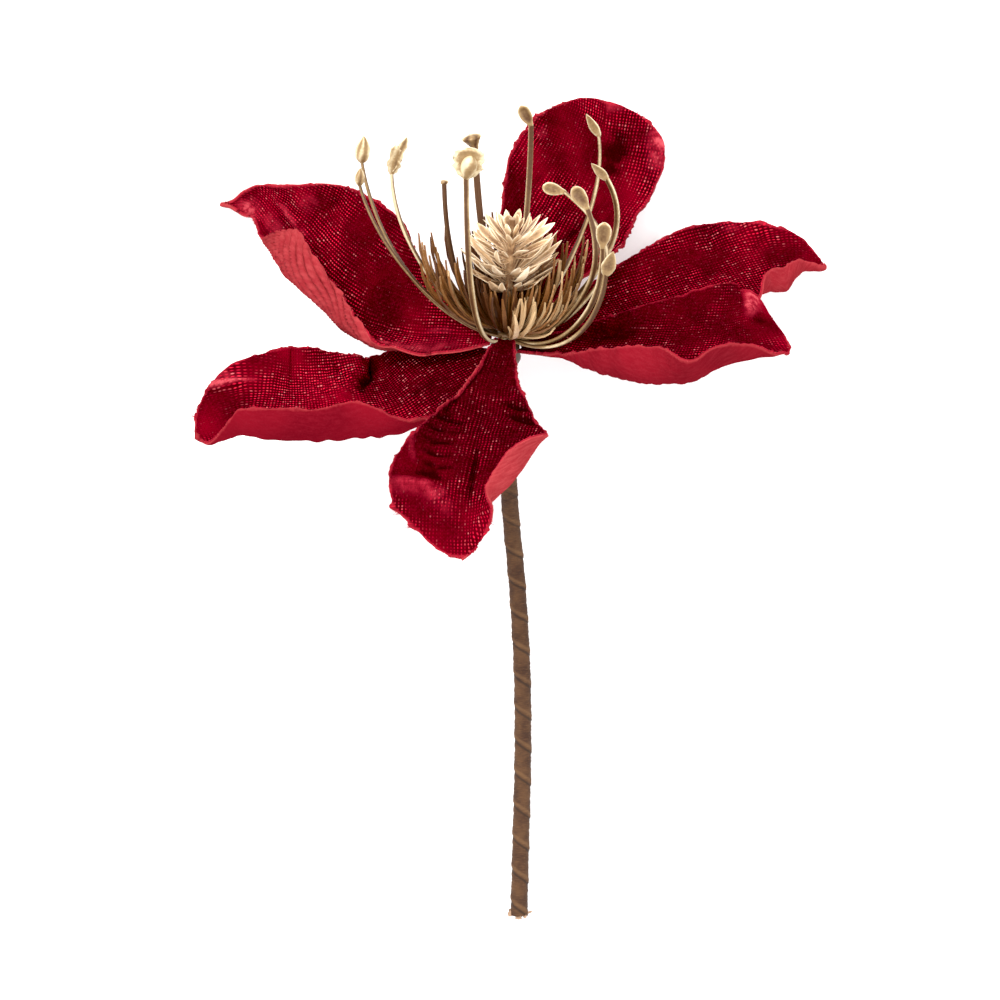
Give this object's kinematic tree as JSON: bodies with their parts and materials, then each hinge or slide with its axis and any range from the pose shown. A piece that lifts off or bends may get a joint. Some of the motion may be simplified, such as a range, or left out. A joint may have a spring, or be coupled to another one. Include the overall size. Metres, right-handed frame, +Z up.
{
  "type": "artificial magnolia flower pick",
  "caption": "Made magnolia flower with bent woven cloth petals, moulded plastic stamens, needle brush and scaled cone, on a paper-taped wire stem, lying on its side.",
  "frame": {"origin": "on the table, under the middle of the flower and stem's bounding box as the flower lies at rest", "axes": "+Z up from the table, +Y from the stem's cut end to the flower head, +X to the right as seen from above with the stem towards the viewer"},
  "size_m": [0.1785, 0.2388, 0.0992],
  "materials": {
    "petal_cloth": "coarse wine-red weave with bright threads, lined with coral-red brushed velour",
    "receptacle_plastic": "matte brown moulded plastic",
    "champagne_plastic": "satin champagne gold moulded plastic",
    "gold_brown_plastic": "satin gold-brown moulded plastic",
    "wire_steel": "plain drawn steel wire",
    "paper_tape": "brown crepe paper floral tape, wound in a spiral"
  },
  "bodies": {
    "root": {"petal_left_upper": "petal_cloth", "petal_left_lower": "petal_cloth", "petal_front": "petal_cloth", "petal_back": "petal_cloth", "petal_right_upper": "petal_cloth", "petal_right_lower": "petal_cloth", "receptacle": "receptacle_plastic", "long_stamens": "champagne_plastic", "needle_brush": "gold_brown_plastic", "centre_cone": "champagne_plastic", "stem_wire": "wire_steel", "stem_tape": "paper_tape"}
  },
  "joints": []
}
